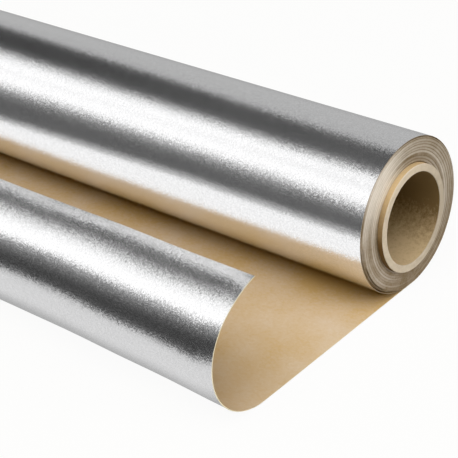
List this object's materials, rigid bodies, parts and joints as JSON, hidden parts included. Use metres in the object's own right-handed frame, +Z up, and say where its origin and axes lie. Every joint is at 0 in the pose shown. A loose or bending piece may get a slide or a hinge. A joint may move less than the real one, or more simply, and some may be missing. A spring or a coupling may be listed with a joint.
{
  "type": "foil-faced kraft paper roll",
  "caption": "Roll of kraft paper faced with metal foil, wound foil side out on a board core, its loose end laid flat in front and curled back over itself.",
  "frame": {"origin": "on the surface that the roll lies on, directly below the core's axis, at the middle of the web's width", "axes": "+X along the core's axis, towards the end where the wound body stands out past the outer turns; the loose end lies towards -Y; +Z up"},
  "size_m": [0.436, 0.1537, 0.065],
  "materials": {
    "core_board": "matte spirally wound board with pale cut ends",
    "foil_paper": "satin metal foil outside, matte brown kraft paper inside and at the edges"
  },
  "bodies": {
    "root": {"core_tube": "core_board", "foil_paper_web": "foil_paper"}
  },
  "joints": []
}
